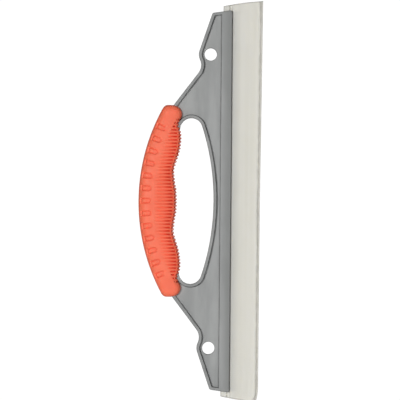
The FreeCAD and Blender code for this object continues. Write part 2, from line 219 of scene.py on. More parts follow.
# %% Build the handled edges group
def edges_worn_and_shaded_group():
    group, wires, taken, given = new_group(
        "edges_worn_and_shaded",
        [("Break-up scale", FLOAT, 140.0), ("Wear", FLOAT, 0.5), ("Grime", FLOAT, 0.5)],
        [("Rubbed and shaded", FLOAT), ("Corner shade", FLOAT)],
    )
    edge = wires.add("ShaderNodeAttribute", attribute_name="edge").outputs["Fac"]
    place = wires.add("ShaderNodeTexCoord").outputs["Object"]
    noise = wires.add("ShaderNodeTexNoise")
    wires.put(place, noise.inputs["Vector"])
    wires.put(taken["Break-up scale"], noise.inputs["Scale"])
    broken = wires.step(noise.outputs["Fac"], 0.3, 0.7, 0.55, 1.0)
    # The edge mask drives real rubbing in the roughness, and painted shade where a finish darkens its
    # colour with it.
    worn_and_shaded = wires.math("MULTIPLY", edge, broken)
    wires.put(wires.math("MULTIPLY", worn_and_shaded, taken["Wear"]), given["Rubbed and shaded"])
    # The hollow mask is painted shadow: the shade that a wall casts in the corner beside it.
    hollow = wires.add("ShaderNodeAttribute", attribute_name="hollow").outputs["Fac"]
    painted_corner_shade = wires.math("MULTIPLY", hollow, wires.step(noise.outputs["Fac"], 0.3, 0.7, 0.7, 1.0))
    wires.put(wires.math("MULTIPLY", painted_corner_shade, taken["Grime"]), given["Corner shade"])
    return group


EDGES_WORN_AND_SHADED = edges_worn_and_shaded_group()
print("group:", EDGES_WORN_AND_SHADED.name)

# %% [markdown]
# ## Starting a finish
# Each finish is one Principled BSDF. What is the same all over, such as the gloss of
# the coat, is typed on the shader. What changes over the surface comes from the groups.

# %% Start a material and drop groups into it
def new_finish(name, **fixed):
    """A material with its shader's plain sockets set, its wiring and its shader node."""
    material = bpy.data.materials.new(name)
    material.use_nodes = True
    wires = Wiring(material.node_tree)
    shader = material.node_tree.nodes["Principled BSDF"]
    for label, value in fixed.items():
        shader.inputs[label.replace("_", " ")].default_value = value
    return material, wires, shader


def drop_in(wires, group, **values):
    """Places a node group in a material and sets its named inputs."""
    placed = wires.add("ShaderNodeGroup", node_tree=group)
    for label, value in values.items():
        wires.put(value, placed.inputs[label.replace("_", " ")])
    return placed.outputs


def feel(wires, shader, height, strength, distance):
    """Lets a height be felt by light, through a Bump node."""
    bump = wires.add("ShaderNodeBump")
    wires.put(strength, bump.inputs["Strength"])
    wires.put(distance, bump.inputs["Distance"])
    wires.put(height, bump.inputs["Height"])
    wires.put(bump.outputs["Normal"], shader.inputs["Normal"])


print("finish helpers ready")

# %% [markdown]
# ## Grey moulded plastic
# The frame is filled polypropylene: a mid grey with a satin face. Its colour drifts
# along the flow of the plastic and the skin has a fine grain. The bevels are painted much
# darker, painted shade where the edges turn from the light, and are a trace smoother
# where they are handled. Corners beside a wall are painted near black, painted shadow of
# the wall. The channel's band is painted a shade darker towards the mouth: painted shade
# of its tapered faces.

# %% Make the frame's plastic
def make_frame_plastic():
    material, wires, shader = new_finish("grey_moulded_plastic", Specular_IOR_Level=0.45)
    clouds = drop_in(
        wires, CLOUDY_TINT, Base=(0.335, 0.342, 0.338, 1), Tint=(0.26, 0.267, 0.264, 1),
        Cloud_scale=100.0, Amount=0.85, Stretch=(1.0, 1.0, 0.18),
    )
    place = wires.add("ShaderNodeTexCoord").outputs["Object"]
    forward = wires.add("ShaderNodeSeparateXYZ", place).outputs["X"]
    # The band is painted darker towards the mouth: painted shade of its tapered faces turning from
    # the lamp.
    band_painted_shade = wires.step(forward, MOUTH_X - 9.0 * MM, MOUTH_X, 0.0, 0.9)
    band_shaded = wires.blend_colour(band_painted_shade, clouds["Color"], (0.2, 0.205, 0.2, 1))
    wear_and_shade = drop_in(wires, EDGES_WORN_AND_SHADED, Wear=1.0, Grime=1.0)
    worn_and_shaded = wear_and_shade["Rubbed and shaded"]
    # Edges are painted much darker: painted shade where they turn from the light.
    edge_shaded = wires.blend_colour(worn_and_shaded, band_shaded, (0.055, 0.056, 0.055, 1))
    # Corners beside a wall are painted near black: painted shadow of the wall.
    colour = wires.blend_colour(wear_and_shade["Corner shade"], edge_shaded, (0.015, 0.015, 0.0145, 1))
    wires.put(colour, shader.inputs["Base Color"])
    grain = drop_in(wires, MOULDED_GRAIN, Grain_scale=2600.0, Flow_scale=120.0)
    rough = wires.step(grain["Patch"], 0.0, 1.0, 0.42, 0.55)
    polish = wires.math("MULTIPLY", worn_and_shaded, 0.04)
    wires.put(wires.math("SUBTRACT", rough, polish), shader.inputs["Roughness"])
    feel(wires, shader, grain["Height"], 0.25, 0.00012)
    return material


FRAME_PLASTIC = make_frame_plastic()
print("finish:", FRAME_PLASTIC.name)

# %% [markdown]
# ## Coral rubber
# The grip is a soft overmoulded rubber. It is matt, a little waxy, and light goes a
# short way into it, which makes shaded grooves red rather than grey. The carving step
# below leaves an attribute "carved" on the mesh, and the finish paints a deeper, darker
# red there: painted shade in the grooves and recesses.

# %% Make the grip's rubber
def make_grip_rubber():
    material, wires, shader = new_finish(
        "coral_rubber",
        Specular_IOR_Level=0.35,
        Subsurface_Weight=0.18,
        Subsurface_Scale=0.0012,
        Subsurface_Radius=(1.0, 0.32, 0.2),
    )
    clouds = drop_in(
        wires, CLOUDY_TINT, Base=(0.94, 0.18, 0.094, 1), Tint=(0.9, 0.155, 0.08, 1),
        Cloud_scale=70.0, Amount=0.6,
    )
    carved = wires.add("ShaderNodeAttribute", attribute_name="carved").outputs["Fac"]
    # The grooves and recesses are painted a darker red: painted shade.
    depth = wires.step(carved, 0.25, 1.0, 0.0, 0.95)
    painted_groove_shade = wires.blend_colour(depth, clouds["Color"], (0.66, 0.03, 0.008, 1))
    wires.put(painted_groove_shade, shader.inputs["Base Color"])
    grain = drop_in(wires, MOULDED_GRAIN, Grain_scale=1900.0, Flow_scale=160.0)
    wires.put(wires.step(grain["Patch"], 0.0, 1.0, 0.5, 0.62), shader.inputs["Roughness"])
    feel(wires, shader, grain["Height"], 0.3, 0.00015)
    return material


GRIP_RUBBER = make_grip_rubber()
print("finish:", GRIP_RUBBER.name)

# %% [markdown]
# ## Clear-ish silicone
# The strip is a warm, cloudy silicone: light scatters in it, and long faint streaks run
# its whole length, left by the die that it was pushed through. The streaks are a noise
# stretched so far along Z that it turns to lines. Beside the channel's mouth, along the
# frame, the strip is painted darker: painted shadow of the channel's lips. Its edges are
# painted darker too, painted shade where they turn from the light, and they are rougher
# where they are rubbed.

# %% Make the blade's silicone
def make_blade_silicone():
    material, wires, shader = new_finish(
        "cloudy_silicone",
        Specular_IOR_Level=0.5,
        Subsurface_Weight=0.35,
        Subsurface_Scale=0.004,
        Subsurface_Radius=(1.0, 0.95, 0.8),
    )
    clouds = drop_in(
        wires, CLOUDY_TINT, Base=(0.675, 0.665, 0.618, 1), Tint=(0.635, 0.622, 0.56, 1),
        Cloud_scale=260.0, Amount=0.6, Stretch=(1.0, 0.4, 0.012),
    )
    place = wires.add("ShaderNodeTexCoord").outputs["Object"]
    parts = wires.add("ShaderNodeSeparateXYZ", place).outputs
    # Beside the mouth, along the frame's length, the strip is painted darker: painted shadow of the
    # channel's lips.
    before = wires.step(parts["X"], MOUTH_X - 2.5 * MM, MOUTH_X)
    beyond = wires.step(parts["X"], MOUTH_X - 1 * MM, MOUTH_X + 7.5 * MM, 0.65, 0.0)
    from_middle = wires.math("ABSOLUTE", wires.math("SUBTRACT", parts["Z"], MIDDLE_Z))
    beside = wires.step(from_middle, frame_high.z - MIDDLE_Z, frame_high.z - MIDDLE_Z - 2 * MM)
    painted_mouth_shadow = wires.math("MULTIPLY", wires.math("MULTIPLY", before, beyond), beside)
    mouth_shadowed = wires.blend_colour(painted_mouth_shadow, clouds["Color"], (0.43, 0.43, 0.405, 1))
    worn_and_shaded = drop_in(wires, EDGES_WORN_AND_SHADED, Wear=0.9)["Rubbed and shaded"]
    # Edges are painted darker: painted shade where the lip and corners turn from the light; rubbing
    # also makes them rougher.
    wires.put(wires.blend_colour(worn_and_shaded, mouth_shadowed, (0.4, 0.39, 0.355, 1)), shader.inputs["Base Color"])
    grain = drop_in(wires, MOULDED_GRAIN, Grain_scale=1200.0, Flow_scale=60.0)
    rough = wires.step(grain["Patch"], 0.0, 1.0, 0.36, 0.48)
    wires.put(wires.math("ADD", rough, wires.math("MULTIPLY", worn_and_shaded, 0.4)), shader.inputs["Roughness"])
    feel(wires, shader, grain["Height"], 0.12, 0.0001)
    return material


BLADE_SILICONE = make_blade_silicone()
print("finish:", BLADE_SILICONE.name)

# %% [markdown]
# ## The frame
# The real frame is one moulding, and no moulding has knife edges: each corner has a
# small radius that catches the light. The CAD solid has sharp ones. So its mesh is
# copied, its doubles are merged and its flat faces joined up, and a Bevel modifier
# rounds every sharp edge by a few tenths of a millimetre. Edges deep under the grip
# never show, so they keep their corners. The bevel puts its own faces in a second
# material slot, which shows where the edges are. Both slots hold the same plastic, and
# the second is taken off again once the edges are marked.

# %% Copy the frame's solid and clean it
SAME_PLACE = 0.01 * MM
MOUTH_CORNER = 1.4 * MM


def cleaned_copy(node, name, rounded):
    """A new object with the node's mesh, merged, flat neighbours joined, some edges rounded."""
    mesh = bpy.data.meshes.new(name)
    work = bmesh.new()
    work.from_mesh(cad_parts[node].data)
    bmesh.ops.remove_doubles(work, verts=work.verts, dist=1e-6)
    bmesh.ops.dissolve_limit(
        work, angle_limit=math.radians(0.6), verts=work.verts, edges=work.edges
    )
    corners = [edge for edge in work.edges if rounded(edge)]
    bmesh.ops.bevel(
        work, geom=corners, offset=MOUTH_CORNER, segments=5, profile=0.5, affect="EDGES"
    )
    print("corners rounded:", len(corners))
    work.to_mesh(mesh)
    work.free()
    copy = bpy.data.objects.new(name, mesh)
    bpy.context.scene.collection.objects.link(copy)
    return copy


def at_mouth_corner(edge):
    """True for the short edges through the thickness, at the ends of the channel's mouth."""
    first, second = (vertex.co for vertex in edge.verts)
    across = abs(first.x - second.x) < SAME_PLACE and abs(first.z - second.z) < SAME_PLACE
    at_mouth = abs(first.x - MOUTH_X) < SAME_PLACE
    at_end = min(abs(first.z - frame_low.z), abs(first.z - frame_high.z)) < SAME_PLACE
    return across and at_mouth and at_end


frame_shell = cleaned_copy("frame", "moulded_frame", at_mouth_corner)
print("frame copy:", len(frame_shell.data.vertices), "vertices")

# %% [markdown]
# A mould needs draft: walls that lean a little let the part slide out. The CAD band is
# straight, so its faces are drawn in towards the mouth, by just over half a millimetre.

# %% Taper the channel's band
BAND_WIDTH = 8.0
BAND_FACE_ABOVE = 4.0
BAND_TAPER = 0.12


def taper_band(piece):
    """Thins the band towards the channel's mouth, as a mould needs to let the part go."""
    moved = 0
    for vertex in piece.data.vertices:
        forward = (vertex.co.x - MOUTH_X) / MM
        if forward > -BAND_WIDTH and abs(vertex.co.y) > BAND_FACE_ABOVE * MM:
            vertex.co.y *= 1 - BAND_TAPER * (1 + forward / BAND_WIDTH)
            moved += 1
    return moved


print("band points tapered:", taper_band(frame_shell))

# %% [markdown]
# A Bevel modifier can limit itself to sharp edges, but its own guard against overlaps
# is one limit for the whole mesh, so a single short edge would thin every radius. The
# edges that show are weighted here instead, and the guard is off.
#
# The bevel faces then tell the finish where edges are rubbed and where it paints shade on
# edges and in corners. A corner is marked only when all its faces are bevel faces. The
# raised rim gets a light edge mark all over, so it is painted a little darker, and the
# corners ahead of the rim are shallow, so they get less painted shadow.

# %% Round its edges
SHARP_BEND = math.radians(32)
COVERED_BY = 2 * MM
EDGE_RADIUS = 0.4 * MM
LEAST_BEND = 0.2
SHALLOW_AHEAD_OF = MOUTH_X - 10.5 * MM
SHALLOW_CORNER_SHADE = 0.3
RIM_BEHIND = MOUTH_X - 9.5 * MM
RIM_ABOVE = 3 * MM
RIM_EDGE_MARK = 0.25


def baked(piece):
    """Turns a piece's modifiers into plain mesh, and takes them off."""
    graph = bpy.context.evaluated_depsgraph_get()
    finished = bpy.data.meshes.new_from_object(piece.evaluated_get(graph))
    finished.name = piece.name
    piece.modifiers.clear()
    piece.data = finished
    return piece


def weigh_edges(piece, cover_low, cover_high):
    """Gives each sharp edge a bevel weight of 1, and the ones deep under the cover none."""
    work = bmesh.new()
    work.from_mesh(piece.data)
    weight = work.edges.layers.float.new("bevel_weight_edge")
    for edge in work.edges:
        covered = all(
            corner.co.x < cover_high.x - COVERED_BY
            and cover_low.z + COVERED_BY < corner.co.z < cover_high.z - COVERED_BY
            for corner in edge.verts
        )
        sharp = edge.calc_face_angle(0) > SHARP_BEND
        edge[weight] = float(sharp and not covered)
    marked = sum(edge[weight] for edge in work.edges)
    work.to_mesh(piece.data)
    work.free()
    return int(marked)


def round_edges(piece):
    """Bevels the weighted edges and evens the shading of the flats between them."""
    edges = piece.modifiers.new("edge_radius", "BEVEL")
    edges.width = EDGE_RADIUS
    edges.segments = 3
    edges.limit_method = "WEIGHT"
    edges.use_clamp_overlap = False
    edges.material = 1
    even = piece.modifiers.new("even_shading", "WEIGHTED_NORMAL")
    even.weight = 80
    even.keep_sharp = False
    return baked(piece)


def is_hollow(edge):
    """True where two faces of an edge meet as the corner of a room, not of a box."""
    first, second = edge.link_faces
    return (second.calc_center_median() - first.calc_center_median()).dot(first.normal) > 0


def mark_edges(piece):
    """Writes "edge" on outer bevels and faintly on the rim, and "hollow" on inner bevels."""
    work = bmesh.new()
    work.from_mesh(piece.data)
    layers = [work.verts.layers.float.new(name) for name in ("edge", "hollow")]
    counts = [0, 0]
    for face in work.faces:
        if face.material_index == 1:
            joined = [e for e in face.edges if len(e.link_faces) == 2]
            bends = [e for e in joined if e.calc_face_angle(0) > LEAST_BEND]
            inside = sum(is_hollow(e) for e in bends) * 2 > len(bends)
            counts[inside] += 1
            for corner in face.verts:
                if all(near.material_index == 1 for near in corner.link_faces):
                    shallow = corner.co.x > SHALLOW_AHEAD_OF
                    # Shallow corners ahead of the rim get less painted shadow.
                    corner[layers[inside]] = SHALLOW_CORNER_SHADE if inside and shallow else 1.0
    for corner in work.verts:
        on_rim = abs(corner.co.y) > RIM_ABOVE and corner.co.x < RIM_BEHIND
        if on_rim and corner[layers[0]] == 0:
            corner[layers[0]] = RIM_EDGE_MARK
    for face in work.faces:
        face.material_index = 0
    work.to_mesh(piece.data)
    work.free()
    while len(piece.data.materials) > 1:
        piece.data.materials.pop()
    return counts


# %% Bevel the frame
grip_low, grip_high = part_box("grip")
for slot in (FRAME_PLASTIC, FRAME_PLASTIC):
    frame_shell.data.materials.append(slot)
for face in frame_shell.data.polygons:
    face.use_smooth = True
print("edges to round:", weigh_edges(frame_shell, grip_low, grip_high))
round_edges(frame_shell)
print("outer and inner bevel faces:", mark_edges(frame_shell))

# %% [markdown]
# One tiny mark tells how the frame was made. It is added after the bevel, which would
# otherwise try to round a disc that stands less proud than the bevel's own radius.

# %% Add the mark of the mould's gate
WEB_FACE = 2.0


def add_gate_mark(piece, radius, proud, place):
    """A tiny raised disc where the plastic came in, left when the runner was snapped off."""
    work = bmesh.new()
    work.from_mesh(piece.data)
    turn = Matrix.Rotation(math.radians(90), 4, "X")
    bmesh.ops.create_cone(
        work, cap_ends=True, segments=24, radius1=radius, radius2=radius * 0.8,
        depth=2 * proud, matrix=Matrix.Translation(place) @ turn,
    )
    work.to_mesh(piece.data)
    work.free()


add_gate_mark(frame_shell, 0.65 * MM, 0.16 * MM, spot(-8.9, -WEB_FACE, -33))
print("frame mesh:", len(frame_shell.data.polygons), "faces")

# %% [markdown]
# ## The grip's form
# The grip is a swept shape: level ovals stacked along the handle. The palm side is one
# large arc. The finger side has two shallow dips with a swell between them, a bump
# near each end, and a collar. A list of heights and distances gives that line,
# and a smooth curve through them gives it at any height, so the rows can be as
# close as the carving needs.

# %% Set the lines that the grip follows
GRIP_HALF = 72.8
PALM_RADIUS = 147.0
PALM_CENTRE = 76.85
FINGER_LINE = [
    (0.0, -40.9), (8.0, -41.25), (16.0, -42.5), (23.0, -43.0), (29.0, -41.6), (36.0, -39.4),
    (42.0, -38.2), (48.0, -37.8), (53.0, -38.3), (58.0, -39.7), (61.0, -39.0), (65.5, -37.5),
    (69.0, -37.45), (GRIP_HALF, -37.45),
]


def smooth_through(points, wanted):
    """Values of a smooth curve through (place, value) points, without overshooting."""
    places, values = np.array(points).T
    slopes = np.diff(values) / np.diff(places)
    turns = np.zeros(len(places))
    same_way = slopes[1:] * slopes[:-1] > 0
    inner = 2 * slopes[1:] * slopes[:-1] / np.where(same_way, slopes[1:] + slopes[:-1], 1)
    turns[1:-1] = np.where(same_way, inner, 0)
    index = np.clip(np.searchsorted(places, wanted) - 1, 0, len(slopes) - 1)
    step = places[index + 1] - places[index]
    part = (wanted - places[index]) / step
    rise = part * part * (3 - 2 * part)
    ease_in = part * (1 - part) ** 2 * step * turns[index]
    ease_out = part * part * (part - 1) * step * turns[index + 1]
    return values[index] * (1 - rise) + values[index + 1] * rise + ease_in + ease_out


def corner(height, tall, wide):
    """How far an end's rounded corner has drawn a side in, at these heights."""
    part = np.clip((np.abs(height) - (GRIP_HALF - tall)) / tall, 0, 1)
    return wide * (1 - np.sqrt(1 - part * part))


def grip_lines(height):
    """Palm side, finger side and half thickness of the grip, in millimetres."""
    palm = PALM_CENTRE - np.sqrt(PALM_RADIUS**2 - height**2) + corner(height, 2.6, 2.0)
    finger = smooth_through(FINGER_LINE, np.abs(height)) - corner(height, 7.0, 7.5)
    half_thick = 8.0 + 3.46 * (1 - (height / GRIP_HALF) ** 2) - corner(height, 5.0, 4.0)
    return palm, finger, half_thick


middle_lines = [round(float(line), 2) for line in grip_lines(np.array(0.0))]
print("palm, finger and half thickness at mid-length:", middle_lines)

# %% [markdown]
# The rows are a quarter of a millimetre apart where the ribs are, so that each groove
# has four or five rows, and get closer towards the ends, where the form turns in.

# %% Stack the ovals
RIB_PITCH = 2.56
ROWS_PER_RIB = 10
COLUMNS = 164
OVAL_POWER = 3.2
CAP_INSET = 9.0


def grip_rows():
    """Heights of the rows, from the bottom end to the top one."""
    ribbed = np.arange(0, 62.5, RIB_PITCH / ROWS_PER_RIB)
    turn = np.linspace(0, math.pi / 2, 26)[1:]
    ends = ribbed[-1] + (GRIP_HALF - ribbed[-1]) * np.sin(turn)
    half = np.concatenate([ribbed, ends])
    return np.concatenate([-half[:0:-1], half])


def grip_base_mesh():
    """The uncarved grip: a closed tube of ovals, with a stored distance to the finger side."""
    heights = grip_rows()
    palm, finger, half_thick = grip_lines(heights)
    turn = np.linspace(0, 2 * math.pi, COLUMNS, endpoint=False)
    bulge_x = np.sign(np.cos(turn)) * np.abs(np.cos(turn)) ** (2 / OVAL_POWER)
    bulge_y = np.sign(np.sin(turn)) * np.abs(np.sin(turn)) ** (2 / OVAL_POWER)
    x = (palm + finger)[:, None] / 2 + (finger - palm)[:, None] / 2 * bulge_x
    y = half_thick[:, None] * bulge_y
    z = np.repeat(heights[:, None], COLUMNS, 1)
    points = np.stack([x, y, z], 2).reshape(-1, 3)
    inset = (finger[:, None] - x).ravel()
    caps = [((palm[end] + finger[end]) / 2, 0, heights[end]) for end in (0, -1)]
    points = np.vstack([points, caps]) * MM + np.array(spot(0, 0, 0))
    rows = len(heights)
    faces = []
    for row in range(rows - 1):
        for column in range(COLUMNS):
            beside = (column + 1) % COLUMNS
            low, high = row * COLUMNS, (row + 1) * COLUMNS
            faces.append((low + column, low + beside, high + beside, high + column))
    bottom, top = rows * COLUMNS, rows * COLUMNS + 1
    last = (rows - 1) * COLUMNS
    for column in range(COLUMNS):
        beside = (column + 1) % COLUMNS
        faces.append((bottom, beside, column))
        faces.append((top, last + column, last + beside))
    mesh = bpy.data.meshes.new("rubber_grip")
    mesh.from_pydata(points.tolist(), [], faces)
    distance = mesh.attributes.new("from_finger_side", "FLOAT", "POINT")
    inset = np.append(inset, [CAP_INSET, CAP_INSET]) * MM
    distance.data.foreach_set("value", inset.astype(np.float32))
    mesh.shade_smooth()
    return mesh


grip_piece = bpy.data.objects.new("rubber_grip", grip_base_mesh())
bpy.context.scene.collection.objects.link(grip_piece)
print("grip before carving:", len(grip_piece.data.vertices), "vertices")

# %% [markdown]
# ## Carving the grip
# The real grip has about fifty fine grooves across its inner half, which give the
# fingers hold, and on each face a fan of thirteen thumb-nail recesses along the palm
# side. Both repeat by a rule, so a Geometry Nodes tree cuts them: it works out, for
# each point, how deep the tool that cut the mould went there, and pushes the point
# in along its normal. Every size is a named input of the tree.
#
# A folded ruler (the ping-pong operation) turns height into the distance from the
# nearest groove, and the angle round the palm arc into the distance from the nearest
# recess. Both cuts are slots with a round end, so they share one slot rule.

# %% Write the carving tree
CARVING_SIZES = {
    "Palm radius": PALM_RADIUS * MM,
    "Rib pitch": RIB_PITCH * MM,
    "First rib": 59.1 * MM,
    "Rib width": 1.2 * MM,
    "Rib depth": 1.5 * MM,
    "Rib start": 13.2 * MM,
    "Rib half span": 61.6 * MM,
    "Land place": 2.0 * MM,
    "Land width": 0.2 * MM,
    "Recess spacing": 9.45 * MM,
    "Recess width": 4.6 * MM,
    "Recess inner end": 9.6 * MM,
    "Recess outer end": 1.3 * MM,
    "Recess depth": 0.9 * MM,
    "Outline width": 1.0 * MM,
    "Step place": 5.4 * MM,
    "Recess half span": 62.0 * MM,
}
WALL_OUTSIDE = 0.18 * MM
WALL_INSIDE = 0.22 * MM


def carving_tree(sizes):
    """The tree's inputs and outputs, named after what they size."""
    tree = bpy.data.node_groups.new("grip_carving", "GeometryNodeTree")
    ports = tree.interface
    ports.new_socket("Geometry", in_out="INPUT", socket_type="NodeSocketGeometry")
    for label, length in sizes.items():
        socket = ports.new_socket(label, in_out="INPUT", socket_type=FLOAT)
        socket.default_value = length
    ports.new_socket("Palm centre", in_out="INPUT", socket_type=VECTOR)
    ports.new_socket("Rubber", in_out="INPUT", socket_type="NodeSocketMaterial")
    ports.new_socket("Geometry", in_out="OUTPUT", socket_type="NodeSocketGeometry")
    return tree


def slot_cut(wires, past_end, sideways, width):
    """1 inside a slot with a round end, 0 outside, with sloping walls between."""
    beyond = wires.math("MAXIMUM", past_end, 0.0)
    beyond_squared = wires.math("MULTIPLY", beyond, beyond)
    sideways_squared = wires.math("MULTIPLY", sideways, sideways)
    reach = wires.math("SQRT", wires.math("ADD", beyond_squared, sideways_squared))
    half = wires.math("MULTIPLY", width, 0.5)
    wall_top = wires.math("ADD", half, WALL_OUTSIDE)
    wall_foot = wires.math("SUBTRACT", half, WALL_INSIDE)
    return wires.step(reach, wall_top, wall_foot)


tree = carving_tree(CARVING_SIZES)
wires = Wiring(tree)
given = wires.add("NodeGroupInput").outputs
print("tree inputs:", [socket.name for socket in given if socket.name])

# %% Measure every point against the palm arc
place = wires.add("GeometryNodeInputPosition").outputs[0]
offset = wires.add(
    "ShaderNodeVectorMath", place, given["Palm centre"], operation="SUBTRACT"
).outputs[0]
parts = wires.add("ShaderNodeSeparateXYZ", offset).outputs
height = parts["Z"]
backward = wires.math("MULTIPLY", parts["X"], -1.0)
backward_squared = wires.math("MULTIPLY", backward, backward)
height_squared = wires.math("MULTIPLY", height, height)
from_centre = wires.math("SQRT", wires.math("ADD", backward_squared, height_squared))
from_palm = wires.math("SUBTRACT", given["Palm radius"], from_centre)
turned = wires.math("ARCTAN2", height, backward)
along_arc = wires.math("MULTIPLY", turned, given["Palm radius"])
print("measures ready")

# %% [markdown]
# The ribs are cut deepest near the finger side and half as deep further in. Over the
# last two millimetres they ease off again, and a narrow land crosses them there.

# %% Cut the ribs
RIB_FADE = 0.3 * MM
ON_LAND = 0.2

half_pitch = wires.math("MULTIPLY", given["Rib pitch"], 0.5)
from_rib = wires.math("PINGPONG", wires.math("SUBTRACT", given["First rib"], height), half_pitch)
rib_round = wires.math("MULTIPLY", given["Rib width"], 0.5)
rib_past = wires.math("SUBTRACT", wires.math("ADD", given["Rib start"], rib_round), from_palm)
rib = slot_cut(wires, rib_past, from_rib, given["Rib width"])
finger_gap = wires.add(
    "GeometryNodeInputNamedAttribute", "from_finger_side", data_type="FLOAT"
).outputs["Attribute"]
deepening = wires.step(finger_gap, 2.5 * MM, 11.0 * MM, 1.0, 0.5)
span_out = wires.math("ADD", given["Rib half span"], RIB_FADE)
in_span = wires.step(wires.math("ABSOLUTE", height), span_out, given["Rib half span"])
from_land = wires.math("ABSOLUTE", wires.math("SUBTRACT", finger_gap, given["Land place"]))
land_half = wires.math("MULTIPLY", given["Land width"], 0.5)
land_end = wires.math("ADD", land_half, RIB_FADE)
off_land = wires.step(from_land, land_half, land_end, ON_LAND, 1.0)
where = wires.math("MULTIPLY", in_span, off_land)
rib = wires.math("MULTIPLY", wires.math("MULTIPLY", rib, deepening), where)
easing = wires.step(finger_gap, 0.1 * MM, 2.0 * MM, 0.5, 1.0)
rib_depth = wires.math("MULTIPLY", easing, given["Rib depth"])
rib_cut = wires.math("MULTIPLY", rib, rib_depth)
print("ribs wired")

# %% [markdown]
# The recess sizes along the fan are heights, as an upright rule would read them. Laid
# along the arc they are a twentieth longer. Each recess keeps a raised pad inside a
# deeper outline, and the pad has one step.

# %% Cut the recesses
ARC_STRETCH = 1.05
RECESS_FADE = 0.5 * MM
FAN_FADE = 0.2 * MM
STEP_LENGTH = 0.4 * MM

half_spacing = wires.math("MULTIPLY", given["Recess spacing"], 0.5)
spread = wires.math("MULTIPLY", half_spacing, ARC_STRETCH)
from_recess = wires.math("PINGPONG", along_arc, spread)
recess_round = wires.math("MULTIPLY", given["Recess width"], 0.5)
recess_past = wires.math(
    "SUBTRACT", from_palm, wires.math("SUBTRACT", given["Recess inner end"], recess_round)
)
recess = slot_cut(wires, recess_past, from_recess, given["Recess width"])
fade_end = wires.math("ADD", given["Recess outer end"], RECESS_FADE)
fade_in = wires.step(from_palm, given["Recess outer end"], fade_end)
fan_out = wires.math("MULTIPLY", given["Recess half span"], ARC_STRETCH)
past_fan = wires.math("ADD", fan_out, FAN_FADE)
in_fan = wires.step(wires.math("ABSOLUTE", along_arc), past_fan, fan_out)
outlines = wires.math("MULTIPLY", given["Outline width"], 2.0)
inner_width = wires.math("SUBTRACT", given["Recess width"], outlines)
inner = slot_cut(wires, recess_past, from_recess, inner_width)
inner_start = wires.math("ADD", given["Recess outer end"], given["Outline width"])
inner_end = wires.math("ADD", inner_start, RECESS_FADE)
closed = wires.step(from_palm, inner_start, inner_end)
step_end = wires.math("ADD", given["Step place"], STEP_LENGTH)
pad_height = wires.step(from_palm, given["Step place"], step_end, 0.7, 0.3)
pad = wires.math("MULTIPLY", wires.math("MULTIPLY", inner, closed), pad_height)
lowered = wires.math("SUBTRACT", recess, pad)
recess = wires.math("MULTIPLY", wires.math("MULTIPLY", lowered, fade_in), in_fan)
recess_cut = wires.math("MULTIPLY", recess, given["Recess depth"])
print("recesses wired")

# %% [markdown]
# The two cuts are added and push the surface in. What is stored for the finish is not
# quite the depth: it is the ribs' pattern before they ease off, plus the recesses' depth
# over the ribs' depth, so the painted shade in the grooves stays dark where they get
# shallow. The tree ends by realizing instances and setting the material, which leaves
# plain mesh behind.

# %% Push the surface in and finish the tree
cut = wires.math("ADD", rib_cut, recess_cut)
inward = wires.add("ShaderNodeVectorMath", operation="SCALE")
wires.put(wires.add("GeometryNodeInputNormal").outputs["Normal"], inward.inputs["Vector"])
wires.put(wires.math("MULTIPLY", cut, -1.0), inward.inputs["Scale"])
# The stored share tells the finish where to paint shade in the grooves.
recess_share = wires.math("DIVIDE", recess_cut, given["Rib depth"])
share = wires.math("ADD", rib, recess_share)
stored = wires.add("GeometryNodeStoreNamedAttribute", data_type="FLOAT", domain="POINT")
wires.put(given["Geometry"], stored.inputs["Geometry"])
wires.put("carved", stored.inputs["Name"])
wires.put(share, stored.inputs["Value"])
pushed = wires.add("GeometryNodeSetPosition")
wires.put(stored.outputs["Geometry"], pushed.inputs["Geometry"])
wires.put(inward.outputs["Vector"], pushed.inputs["Offset"])
real = wires.add("GeometryNodeRealizeInstances")
wires.put(pushed.outputs["Geometry"], real.inputs["Geometry"])
painted = wires.add("GeometryNodeSetMaterial")
wires.put(real.outputs["Geometry"], painted.inputs["Geometry"])
wires.put(given["Rubber"], painted.inputs["Material"])
wires.put(painted.outputs["Geometry"], wires.add("NodeGroupOutput").inputs["Geometry"])
print("nodes in the tree:", len(tree.nodes))

# %% Run the carving on the grip
def run_tree(piece, tree, **values):
    """Adds the tree as a modifier, sets its inputs by identifier, and bakes the result."""
    ports = [item for item in tree.interface.items_tree if item.in_out == "INPUT"]
    names = {port.name: port.identifier for port in ports}
    worker = piece.modifiers.new("carving", "NODES")
    worker.node_group = tree
    for label, value in values.items():
        worker[names[label.replace("_", " ")]] = value
    return baked(piece)


run_tree(grip_piece, tree, Palm_centre=spot(PALM_CENTRE, 0, 0), Rubber=GRIP_RUBBER)
carved = np.zeros(len(grip_piece.data.vertices), np.float32)
grip_piece.data.attributes["carved"].data.foreach_get("value", carved)
print("grip mesh:", len(grip_piece.data.polygons), "faces")
print("most carved:", round(float(carved.max()), 2))

# %% [markdown]
# ## The blade
# The strip is pushed through a die, so it has one profile: a thick head that sits in
# the channel, a thin neck, a web that tapers towards the front, and a T-shaped lip
# that wipes. The mesh sweeps that profile down the strip. Its ends are trimmed at a
# slight slant with a faint crown, and because it is soft it has taken a set: the
# wiping edge comes back a little on its way down and turns aside at the bottom.

# %% Set the blade's profile
blade_low, blade_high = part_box("blade")
HEAD_BACK = (MOUTH_X - blade_low.x) / MM
TIP_REACH = (blade_high.x - MOUTH_X) / MM
LIP_HALF = blade_high.y / MM
BLADE_HALF = 149.1
END_SLANT = 0.14
CROWN = 0.6
CROWN_PLACE = 8.3
CROWN_REACH = 15.0
END_GAP = 0.02


